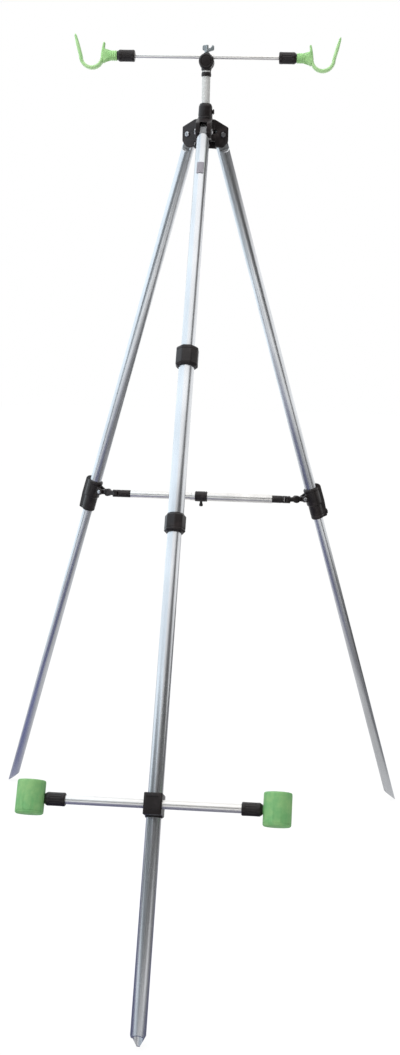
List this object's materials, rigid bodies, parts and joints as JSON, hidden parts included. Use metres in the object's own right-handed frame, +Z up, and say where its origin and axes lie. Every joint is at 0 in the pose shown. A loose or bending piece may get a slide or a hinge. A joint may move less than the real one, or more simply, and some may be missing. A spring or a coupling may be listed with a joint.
{
  "type": "surf rod tripod",
  "caption": "Free-standing tripod for surf fishing rods: U-shaped rod rests on a top bar, butt cups on a lower bar, telescopic legs and a brace between the rear legs.",
  "frame": {"origin": "on the ground in the middle of the footprint box of the three feet", "axes": "+Z up, the front leg and its butt cups towards -Y, the top bar along X"},
  "size_m": [0.8258, 0.9574, 1.4565],
  "materials": {
    "silver": "satin anodised",
    "steel": "bright zinc plate",
    "black": "moulded black plastic, semi-matt",
    "grey": "moulded grey plastic",
    "pale_green": "pale green moulded plastic, slightly translucent",
    "green": "green moulded plastic with a fine mottled skin"
  },
  "bodies": {
    "hub": {"hub_spider": "black", "front_pivot_screw": "steel", "left_pivot_screw": "steel", "right_pivot_screw": "steel"},
    "column_lock": {"column_lock_screw": "black"},
    "column": {"centre_column": "silver", "column_stop_plug": "black"},
    "head": {"head_clamp": "black"},
    "wing_screw": {"head_wing_screw": "steel"},
    "crossbar": {"top_crossbar": "silver", "top_nut_left": "black", "top_nut_right": "black"},
    "rod_rest_left": {"rod_rest_left": "pale_green"},
    "rod_rest_right": {"rod_rest_right": "pale_green"},
    "front_leg": {"front_leg_plug": "grey", "front_upper_tube": "silver", "blank_label_plate": "grey", "front_upper_bush": "black"},
    "front_mid": {"front_mid_tube": "silver"},
    "front_twist_upper": {"front_collar_upper": "black"},
    "front_twist_lower": {"front_collar_lower": "black"},
    "front_lower": {"front_lower_tube": "silver", "front_lower_bush": "black"},
    "bar_clamp": {"bar_clamp_block": "black"},
    "bar_clamp_screw": {"bar_clamp_screw": "black"},
    "lower_bar": {"lower_bar": "silver", "lower_nut_left": "black", "lower_nut_right": "black"},
    "butt_cup_left": {"butt_cup_left": "green"},
    "butt_cup_right": {"butt_cup_right": "green"},
    "left_leg": {"left_leg_plug": "grey", "left_upper_tube": "silver", "left_leg_collar": "black", "left_link_pin": "steel"},
    "left_lower": {"left_lower_tube": "silver", "left_slide_bush": "black"},
    "left_knob": {"left_collar_knob": "black"},
    "right_leg": {"right_leg_plug": "grey", "right_upper_tube": "silver", "right_leg_collar": "black", "right_link_pin": "steel"},
    "right_lower": {"right_lower_tube": "silver", "right_slide_bush": "black"},
    "right_knob": {"right_collar_knob": "black"},
    "brace_inner": {"brace_link_left": "black", "brace_swivel_pin_left": "steel", "brace_plug_left": "black", "brace_inner_tube": "silver"},
    "brace_outer": {"brace_outer_tube": "silver", "brace_lock_collar": "black", "brace_plug_right": "black", "brace_swivel_pin_right": "steel", "brace_link_right": "black"},
    "brace_lock": {"brace_lock_screw": "black"}
  },
  "joints": [
    {"name": "column_lock_turn", "type": "hinge", "parent": "hub", "child": "column_lock", "pos_m": [0, 0.23727, 1.332], "axis": [1, 0, 0], "range_deg": [-45, 315]},
    {"name": "column_slide", "type": "slide", "parent": "hub", "child": "column", "axis": [0, 0, 1], "range_m": [-0.04, 0.027]},
    {"name": "head_swivel", "type": "hinge", "parent": "column", "child": "head", "pos_m": [0, 0.23727, 1.413], "axis": [0, 0, 1], "range_deg": [-180, 180]},
    {"name": "wing_screw_turn", "type": "hinge", "parent": "head", "child": "wing_screw", "pos_m": [0, 0.23727, 1.431], "axis": [0, 0, 1], "range_deg": [-45, 315]},
    {"name": "crossbar_slide", "type": "slide", "parent": "head", "child": "crossbar", "axis": [1, 0, 0], "range_m": [-0.05, 0.05]},
    {"name": "rod_rest_left_turn", "type": "hinge", "parent": "crossbar", "child": "rod_rest_left", "pos_m": [0, 0.23727, 1.421], "axis": [1, 0, 0], "range_deg": [-90, 90]},
    {"name": "rod_rest_right_turn", "type": "hinge", "parent": "crossbar", "child": "rod_rest_right", "pos_m": [0, 0.23727, 1.421], "axis": [1, 0, 0], "range_deg": [-90, 90]},
    {"name": "front_leg_fold", "type": "hinge", "parent": "hub", "child": "front_leg", "pos_m": [0, 0.20927, 1.295], "axis": [1, 0, 0], "range_deg": [-10, 28]},
    {"name": "front_mid_slide", "type": "slide", "parent": "front_leg", "child": "front_mid", "axis": [0, 0.4695, 0.8829], "range_m": [-0.03, 0.065]},
    {"name": "front_twist_upper_turn", "type": "hinge", "parent": "front_mid", "child": "front_twist_upper", "pos_m": [0, 0.00918, 0.91869], "axis": [0, 0.4695, 0.8829], "range_deg": [-90, 0]},
    {"name": "front_twist_lower_turn", "type": "hinge", "parent": "front_mid", "child": "front_twist_lower", "pos_m": [0, -0.12302, 0.67005], "axis": [0, 0.4695, 0.8829], "range_deg": [0, 90]},
    {"name": "front_lower_slide", "type": "slide", "parent": "front_mid", "child": "front_lower", "axis": [0, 0.4695, 0.8829], "range_m": [-0.03, 0.065]},
    {"name": "bar_clamp_slide", "type": "slide", "parent": "front_lower", "child": "bar_clamp", "axis": [0, 0.4695, 0.8829], "range_m": [-0.2, 0.28]},
    {"name": "bar_clamp_screw_turn", "type": "hinge", "parent": "bar_clamp", "child": "bar_clamp_screw", "pos_m": [0, -0.32405, 0.29197], "axis": [0, 0.8829, -0.4695], "range_deg": [-45, 315]},
    {"name": "lower_bar_slide", "type": "slide", "parent": "bar_clamp", "child": "lower_bar", "axis": [1, 0, 0], "range_m": [-0.06, 0.06]},
    {"name": "butt_cup_left_turn", "type": "hinge", "parent": "lower_bar", "child": "butt_cup_left", "pos_m": [-0.1768, -0.3418, 0.30141], "axis": [1, 0, 0], "range_deg": [-90, 90]},
    {"name": "butt_cup_right_turn", "type": "hinge", "parent": "lower_bar", "child": "butt_cup_right", "pos_m": [0.1768, -0.3418, 0.30141], "axis": [1, 0, 0], "range_deg": [-90, 90]},
    {"name": "left_leg_fold", "type": "hinge", "parent": "hub", "child": "left_leg", "pos_m": [-0.02425, 0.25127, 1.295], "axis": [-0.5, -0.866, 0], "range_deg": [-0.8, 4.8]},
    {"name": "left_lower_slide", "type": "slide", "parent": "left_leg", "child": "left_lower", "axis": [0.2777, -0.1603, 0.9472], "range_m": [-0.03, 0.55]},
    {"name": "left_knob_turn", "type": "hinge", "parent": "left_leg", "child": "left_knob", "pos_m": [-0.22277, 0.36589, 0.61774], "axis": [0.0229, 0.9868, 0.1603], "range_deg": [-45, 315]},
    {"name": "right_leg_fold", "type": "hinge", "parent": "hub", "child": "right_leg", "pos_m": [0.02425, 0.25127, 1.295], "axis": [-0.5, 0.866, 0], "range_deg": [-0.8, 4.8]},
    {"name": "right_lower_slide", "type": "slide", "parent": "right_leg", "child": "right_lower", "axis": [-0.2777, -0.1603, 0.9472], "range_m": [-0.03, 0.55]},
    {"name": "right_knob_turn", "type": "hinge", "parent": "right_leg", "child": "right_knob", "pos_m": [0.22277, 0.36589, 0.61774], "axis": [0.8203, 0.4736, 0.3206], "range_deg": [-45, 315]},
    {"name": "brace_pivot", "type": "hinge", "parent": "left_leg", "child": "brace_inner", "pos_m": [-0.19485, 0.34977, 0.64906], "axis": [-0.5, -0.866, 0], "range_deg": [-4.8, 0.8]},
    {"name": "brace_slide", "type": "slide", "parent": "brace_inner", "child": "brace_outer", "axis": [-1, 0, 0], "range_m": [-0.017, 0.099]},
    {"name": "brace_lock_turn", "type": "hinge", "parent": "brace_outer", "child": "brace_lock", "pos_m": [0, 0.33227, 0.64906], "axis": [0, 0, 1], "range_deg": [-45, 315]}
  ],
  "couplings": [
    {"joint": "right_leg_fold", "follows": "left_leg_fold", "ratio": 1},
    {"joint": "brace_pivot", "follows": "left_leg_fold", "ratio": -1},
    {"joint": "brace_slide", "follows": "left_leg_fold", "m_per_rad": 1.1296}
  ]
}
